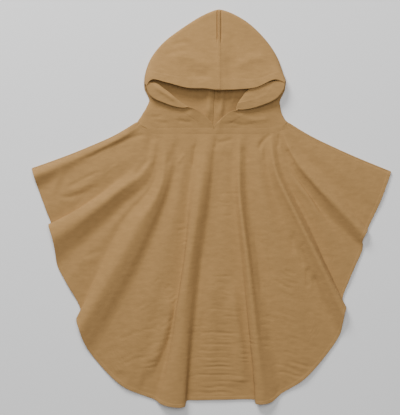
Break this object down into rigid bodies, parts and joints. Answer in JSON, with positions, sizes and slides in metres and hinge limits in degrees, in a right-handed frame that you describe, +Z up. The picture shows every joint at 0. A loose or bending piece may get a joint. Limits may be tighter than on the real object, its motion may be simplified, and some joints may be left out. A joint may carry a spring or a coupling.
{
  "type": "hooded bath poncho",
  "caption": "Small child's hooded bath poncho in crinkled double gauze, laid flat face up with its front in long soft folds and a pointed hood open at the face.",
  "frame": {"origin": "centre of the bounding box, on the surface that the poncho lies on", "axes": "+Z up out of the surface, +Y from the hem towards the hood's peak, +X across the shoulders to the viewer's right, with the front of the garment facing +Z"},
  "size_m": [0.7202, 0.7965, 0.022],
  "materials": {
    "double_gauze": "matte camel cotton double gauze with a fine crinkle"
  },
  "bodies": {
    "root": {"back_panel": "double_gauze", "front_panel": "double_gauze", "hood_left": "double_gauze", "hood_right": "double_gauze"}
  },
  "joints": []
}
